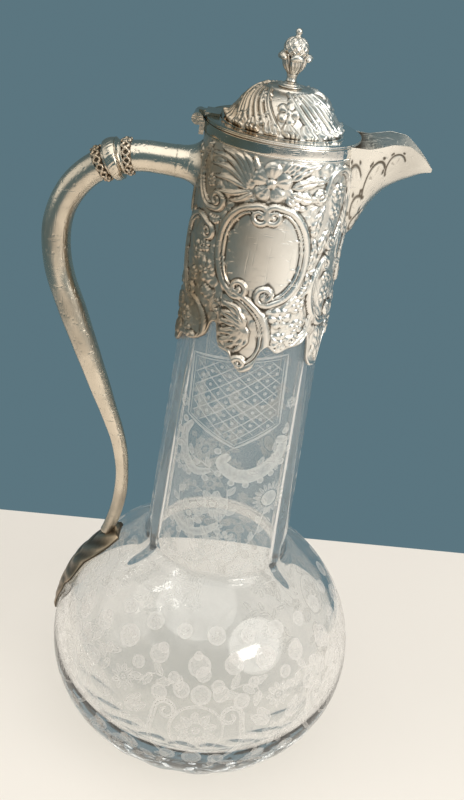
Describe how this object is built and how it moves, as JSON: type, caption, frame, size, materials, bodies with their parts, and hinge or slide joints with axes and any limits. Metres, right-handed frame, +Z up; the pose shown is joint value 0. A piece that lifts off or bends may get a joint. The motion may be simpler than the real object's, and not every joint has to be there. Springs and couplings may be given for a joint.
{
  "type": "claret jug",
  "caption": "Glass claret jug with a round body and tall neck, silver collar with spout and scroll handle, and a hinged domed lid with a pineapple finial.",
  "frame": {"origin": "centre of the flat foot, on the axis of the glass", "axes": "+Z up along the axis of the glass, +X towards the spout, -X towards the handle, -Y towards the cartouche"},
  "size_m": [0.1427, 0.1266, 0.3],
  "materials": {
    "glass": "cut and engraved clear glass",
    "chased_silver": "chased silver plate, patinated in the hollows",
    "polished_silver": "polished silver plate",
    "satin_silver": "satin silver plate",
    "pin_metal": "drawn nickel silver",
    "plaster": "matte plaster bedding"
  },
  "bodies": {
    "root": {"glass_body": "glass", "neck_plaster": "plaster", "collar_shell": "chased_silver", "rim_band": "polished_silver", "spout": "satin_silver", "hinge_collar_plate": "chased_silver", "hinge_pin": "pin_metal", "handle_socket": "chased_silver", "handle_upper_arm": "chased_silver", "handle_front_gallery": "chased_silver", "handle_cup": "chased_silver", "handle_bead_ring": "chased_silver", "handle_rear_gallery": "chased_silver", "handle_scroll": "chased_silver", "handle_leaf_terminal": "chased_silver", "terminal_cement": "plaster"},
    "lid": {"lid_flange": "polished_silver", "lid_dome": "chased_silver", "lid_bezel": "chased_silver", "hinge_lid_plate": "chased_silver", "finial_foot": "chased_silver", "finial_stem": "chased_silver", "finial_calyx": "chased_silver", "finial_bud": "chased_silver", "finial_ball": "chased_silver", "finial_stud": "pin_metal", "finial_washer": "pin_metal", "finial_nut": "pin_metal"}
  },
  "joints": [
    {"name": "lid_hinge", "type": "hinge", "parent": "root", "child": "lid", "pos_m": [-0.0286, 0, 0.2676], "axis": [0, -1, 0], "range_deg": [0, 105]}
  ]
}
